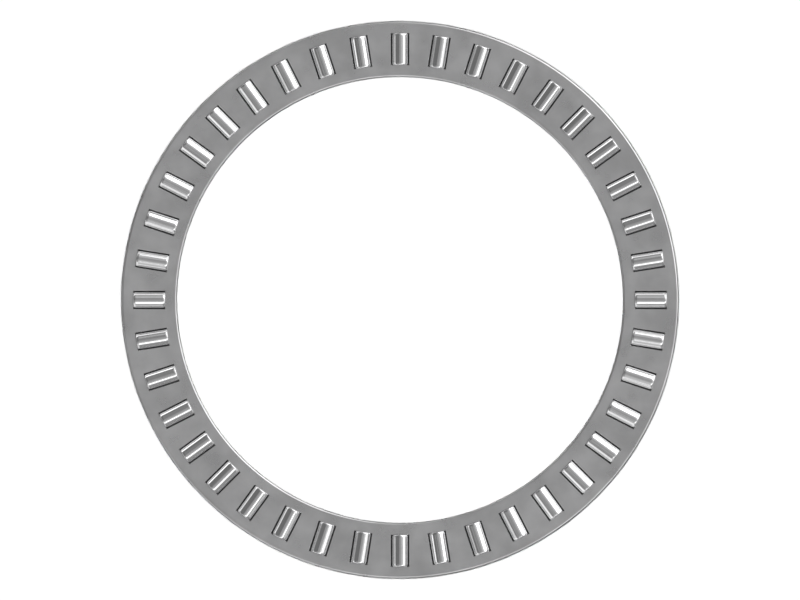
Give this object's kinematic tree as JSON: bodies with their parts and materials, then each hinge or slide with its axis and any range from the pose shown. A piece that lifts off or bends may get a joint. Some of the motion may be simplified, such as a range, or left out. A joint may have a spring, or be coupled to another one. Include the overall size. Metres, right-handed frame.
{
  "type": "thrust bearing",
  "caption": "Flat ring cage of pressed steel that holds short rollers set like spokes, standing proud of both faces to carry axial load between hardened washers.",
  "frame": {"origin": "on the bearing's axis, in the plane of the roller axes, half way between the two races", "axes": "+Z along the bearing's axis, out of the face of the cage shell; +X along the axis of roller_01"},
  "size_m": [0.2, 0.2, 0.0065],
  "materials": {
    "cage_steel": "satin pressed sheet, faintly mottled",
    "roller_steel": "ground and polished bearing steel"
  },
  "bodies": {
    "cage": {"cage_shell": "cage_steel", "cage_cover": "cage_steel"},
    "roller_01": {"roller_01": "roller_steel"},
    "roller_02": {"roller_02": "roller_steel"},
    "roller_03": {"roller_03": "roller_steel"},
    "roller_04": {"roller_04": "roller_steel"},
    "roller_05": {"roller_05": "roller_steel"},
    "roller_06": {"roller_06": "roller_steel"},
    "roller_07": {"roller_07": "roller_steel"},
    "roller_08": {"roller_08": "roller_steel"},
    "roller_09": {"roller_09": "roller_steel"},
    "roller_10": {"roller_10": "roller_steel"},
    "roller_11": {"roller_11": "roller_steel"},
    "roller_12": {"roller_12": "roller_steel"},
    "roller_13": {"roller_13": "roller_steel"},
    "roller_14": {"roller_14": "roller_steel"},
    "roller_15": {"roller_15": "roller_steel"},
    "roller_16": {"roller_16": "roller_steel"},
    "roller_17": {"roller_17": "roller_steel"},
    "roller_18": {"roller_18": "roller_steel"},
    "roller_19": {"roller_19": "roller_steel"},
    "roller_20": {"roller_20": "roller_steel"},
    "roller_21": {"roller_21": "roller_steel"},
    "roller_22": {"roller_22": "roller_steel"},
    "roller_23": {"roller_23": "roller_steel"},
    "roller_24": {"roller_24": "roller_steel"},
    "roller_25": {"roller_25": "roller_steel"},
    "roller_26": {"roller_26": "roller_steel"},
    "roller_27": {"roller_27": "roller_steel"},
    "roller_28": {"roller_28": "roller_steel"},
    "roller_29": {"roller_29": "roller_steel"},
    "roller_30": {"roller_30": "roller_steel"},
    "roller_31": {"roller_31": "roller_steel"},
    "roller_32": {"roller_32": "roller_steel"},
    "roller_33": {"roller_33": "roller_steel"},
    "roller_34": {"roller_34": "roller_steel"},
    "roller_35": {"roller_35": "roller_steel"},
    "roller_36": {"roller_36": "roller_steel"},
    "roller_37": {"roller_37": "roller_steel"},
    "roller_38": {"roller_38": "roller_steel"},
    "roller_39": {"roller_39": "roller_steel"},
    "roller_40": {"roller_40": "roller_steel"}
  },
  "joints": [
    {"name": "roller_01_spin", "type": "hinge", "parent": "cage", "child": "roller_01", "pos_m": [0.09, 0, 0], "axis": [1, 0, 0], "continuous": true},
    {"name": "roller_02_spin", "type": "hinge", "parent": "cage", "child": "roller_02", "pos_m": [0.08889, 0.01408, 0], "axis": [0.9877, 0.1564, 0], "continuous": true},
    {"name": "roller_03_spin", "type": "hinge", "parent": "cage", "child": "roller_03", "pos_m": [0.0856, 0.02781, 0], "axis": [0.9511, 0.309, 0], "continuous": true},
    {"name": "roller_04_spin", "type": "hinge", "parent": "cage", "child": "roller_04", "pos_m": [0.08019, 0.04086, 0], "axis": [0.891, 0.454, 0], "continuous": true},
    {"name": "roller_05_spin", "type": "hinge", "parent": "cage", "child": "roller_05", "pos_m": [0.07281, 0.0529, 0], "axis": [0.809, 0.5878, 0], "continuous": true},
    {"name": "roller_06_spin", "type": "hinge", "parent": "cage", "child": "roller_06", "pos_m": [0.06364, 0.06364, 0], "axis": [0.7071, 0.7071, 0], "continuous": true},
    {"name": "roller_07_spin", "type": "hinge", "parent": "cage", "child": "roller_07", "pos_m": [0.0529, 0.07281, 0], "axis": [0.5878, 0.809, 0], "continuous": true},
    {"name": "roller_08_spin", "type": "hinge", "parent": "cage", "child": "roller_08", "pos_m": [0.04086, 0.08019, 0], "axis": [0.454, 0.891, 0], "continuous": true},
    {"name": "roller_09_spin", "type": "hinge", "parent": "cage", "child": "roller_09", "pos_m": [0.02781, 0.0856, 0], "axis": [0.309, 0.9511, 0], "continuous": true},
    {"name": "roller_10_spin", "type": "hinge", "parent": "cage", "child": "roller_10", "pos_m": [0.01408, 0.08889, 0], "axis": [0.1564, 0.9877, 0], "continuous": true},
    {"name": "roller_11_spin", "type": "hinge", "parent": "cage", "child": "roller_11", "pos_m": [0, 0.09, 0], "axis": [0, 1, 0], "continuous": true},
    {"name": "roller_12_spin", "type": "hinge", "parent": "cage", "child": "roller_12", "pos_m": [-0.01408, 0.08889, 0], "axis": [-0.1564, 0.9877, 0], "continuous": true},
    {"name": "roller_13_spin", "type": "hinge", "parent": "cage", "child": "roller_13", "pos_m": [-0.02781, 0.0856, 0], "axis": [-0.309, 0.9511, 0], "continuous": true},
    {"name": "roller_14_spin", "type": "hinge", "parent": "cage", "child": "roller_14", "pos_m": [-0.04086, 0.08019, 0], "axis": [-0.454, 0.891, 0], "continuous": true},
    {"name": "roller_15_spin", "type": "hinge", "parent": "cage", "child": "roller_15", "pos_m": [-0.0529, 0.07281, 0], "axis": [-0.5878, 0.809, 0], "continuous": true},
    {"name": "roller_16_spin", "type": "hinge", "parent": "cage", "child": "roller_16", "pos_m": [-0.06364, 0.06364, 0], "axis": [-0.7071, 0.7071, 0], "continuous": true},
    {"name": "roller_17_spin", "type": "hinge", "parent": "cage", "child": "roller_17", "pos_m": [-0.07281, 0.0529, 0], "axis": [-0.809, 0.5878, 0], "continuous": true},
    {"name": "roller_18_spin", "type": "hinge", "parent": "cage", "child": "roller_18", "pos_m": [-0.08019, 0.04086, 0], "axis": [-0.891, 0.454, 0], "continuous": true},
    {"name": "roller_19_spin", "type": "hinge", "parent": "cage", "child": "roller_19", "pos_m": [-0.0856, 0.02781, 0], "axis": [-0.9511, 0.309, 0], "continuous": true},
    {"name": "roller_20_spin", "type": "hinge", "parent": "cage", "child": "roller_20", "pos_m": [-0.08889, 0.01408, 0], "axis": [-0.9877, 0.1564, 0], "continuous": true},
    {"name": "roller_21_spin", "type": "hinge", "parent": "cage", "child": "roller_21", "pos_m": [-0.09, 0, 0], "axis": [-1, 0, 0], "continuous": true},
    {"name": "roller_22_spin", "type": "hinge", "parent": "cage", "child": "roller_22", "pos_m": [-0.08889, -0.01408, 0], "axis": [-0.9877, -0.1564, 0], "continuous": true},
    {"name": "roller_23_spin", "type": "hinge", "parent": "cage", "child": "roller_23", "pos_m": [-0.0856, -0.02781, 0], "axis": [-0.9511, -0.309, 0], "continuous": true},
    {"name": "roller_24_spin", "type": "hinge", "parent": "cage", "child": "roller_24", "pos_m": [-0.08019, -0.04086, 0], "axis": [-0.891, -0.454, 0], "continuous": true},
    {"name": "roller_25_spin", "type": "hinge", "parent": "cage", "child": "roller_25", "pos_m": [-0.07281, -0.0529, 0], "axis": [-0.809, -0.5878, 0], "continuous": true},
    {"name": "roller_26_spin", "type": "hinge", "parent": "cage", "child": "roller_26", "pos_m": [-0.06364, -0.06364, 0], "axis": [-0.7071, -0.7071, 0], "continuous": true},
    {"name": "roller_27_spin", "type": "hinge", "parent": "cage", "child": "roller_27", "pos_m": [-0.0529, -0.07281, 0], "axis": [-0.5878, -0.809, 0], "continuous": true},
    {"name": "roller_28_spin", "type": "hinge", "parent": "cage", "child": "roller_28", "pos_m": [-0.04086, -0.08019, 0], "axis": [-0.454, -0.891, 0], "continuous": true},
    {"name": "roller_29_spin", "type": "hinge", "parent": "cage", "child": "roller_29", "pos_m": [-0.02781, -0.0856, 0], "axis": [-0.309, -0.9511, 0], "continuous": true},
    {"name": "roller_30_spin", "type": "hinge", "parent": "cage", "child": "roller_30", "pos_m": [-0.01408, -0.08889, 0], "axis": [-0.1564, -0.9877, 0], "continuous": true},
    {"name": "roller_31_spin", "type": "hinge", "parent": "cage", "child": "roller_31", "pos_m": [0, -0.09, 0], "axis": [0, -1, 0], "continuous": true},
    {"name": "roller_32_spin", "type": "hinge", "parent": "cage", "child": "roller_32", "pos_m": [0.01408, -0.08889, 0], "axis": [0.1564, -0.9877, 0], "continuous": true},
    {"name": "roller_33_spin", "type": "hinge", "parent": "cage", "child": "roller_33", "pos_m": [0.02781, -0.0856, 0], "axis": [0.309, -0.9511, 0], "continuous": true},
    {"name": "roller_34_spin", "type": "hinge", "parent": "cage", "child": "roller_34", "pos_m": [0.04086, -0.08019, 0], "axis": [0.454, -0.891, 0], "continuous": true},
    {"name": "roller_35_spin", "type": "hinge", "parent": "cage", "child": "roller_35", "pos_m": [0.0529, -0.07281, 0], "axis": [0.5878, -0.809, 0], "continuous": true},
    {"name": "roller_36_spin", "type": "hinge", "parent": "cage", "child": "roller_36", "pos_m": [0.06364, -0.06364, 0], "axis": [0.7071, -0.7071, 0], "continuous": true},
    {"name": "roller_37_spin", "type": "hinge", "parent": "cage", "child": "roller_37", "pos_m": [0.07281, -0.0529, 0], "axis": [0.809, -0.5878, 0], "continuous": true},
    {"name": "roller_38_spin", "type": "hinge", "parent": "cage", "child": "roller_38", "pos_m": [0.08019, -0.04086, 0], "axis": [0.891, -0.454, 0], "continuous": true},
    {"name": "roller_39_spin", "type": "hinge", "parent": "cage", "child": "roller_39", "pos_m": [0.0856, -0.02781, 0], "axis": [0.9511, -0.309, 0], "continuous": true},
    {"name": "roller_40_spin", "type": "hinge", "parent": "cage", "child": "roller_40", "pos_m": [0.08889, -0.01408, 0], "axis": [0.9877, -0.1564, 0], "continuous": true}
  ]
}
